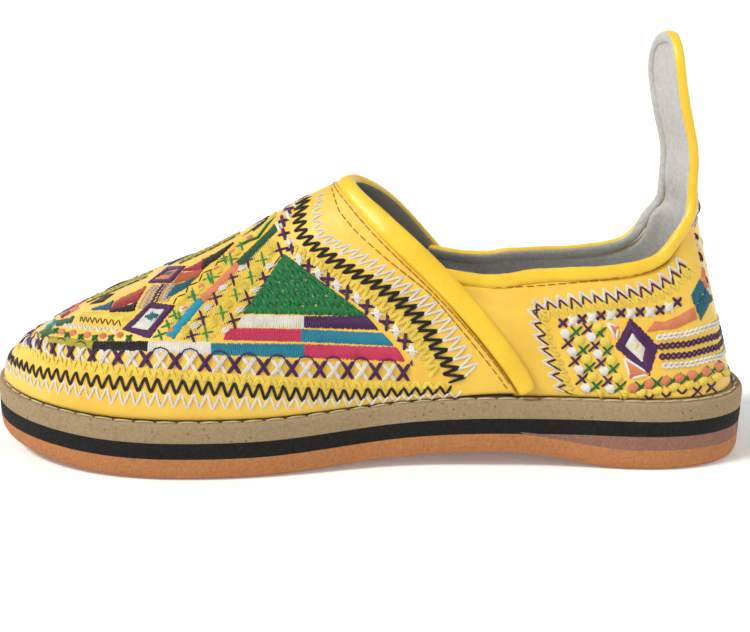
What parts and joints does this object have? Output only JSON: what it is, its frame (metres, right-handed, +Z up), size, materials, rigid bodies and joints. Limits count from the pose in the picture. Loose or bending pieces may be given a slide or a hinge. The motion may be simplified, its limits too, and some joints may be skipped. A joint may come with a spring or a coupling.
{
  "type": "shoe",
  "caption": "Child's leather babouche, left foot: embroidered slip-on with a tall heel pull tab and a layered foam sole.",
  "frame": {"origin": "on the floor under the middle of the shoe's box", "axes": "+Z up, the toe towards -Y and the heel towards +Y, +X towards the outer side of the left foot"},
  "size_m": [0.078, 0.19, 0.1039],
  "materials": {
    "terracotta_foam": "matt cellular foam rubber, fine pores",
    "mauve_foam": "matt cellular foam rubber, fine pores",
    "black_foam": "matt cellular foam rubber",
    "tan_foam": "matt speckled foam rubber",
    "lining_suede": "soft grey suede",
    "upper_leather": "semi-gloss soft goat leather with embroidery",
    "binding_leather": "semi-gloss rolled leather"
  },
  "bodies": {
    "root": {"outsole": "terracotta_foam", "heel_wedge": "mauve_foam", "midsole_black": "black_foam", "midsole_tan": "tan_foam", "insole": "lining_suede", "upper": "upper_leather", "vamp_binding": "binding_leather", "collar_binding": "binding_leather"}
  },
  "joints": []
}
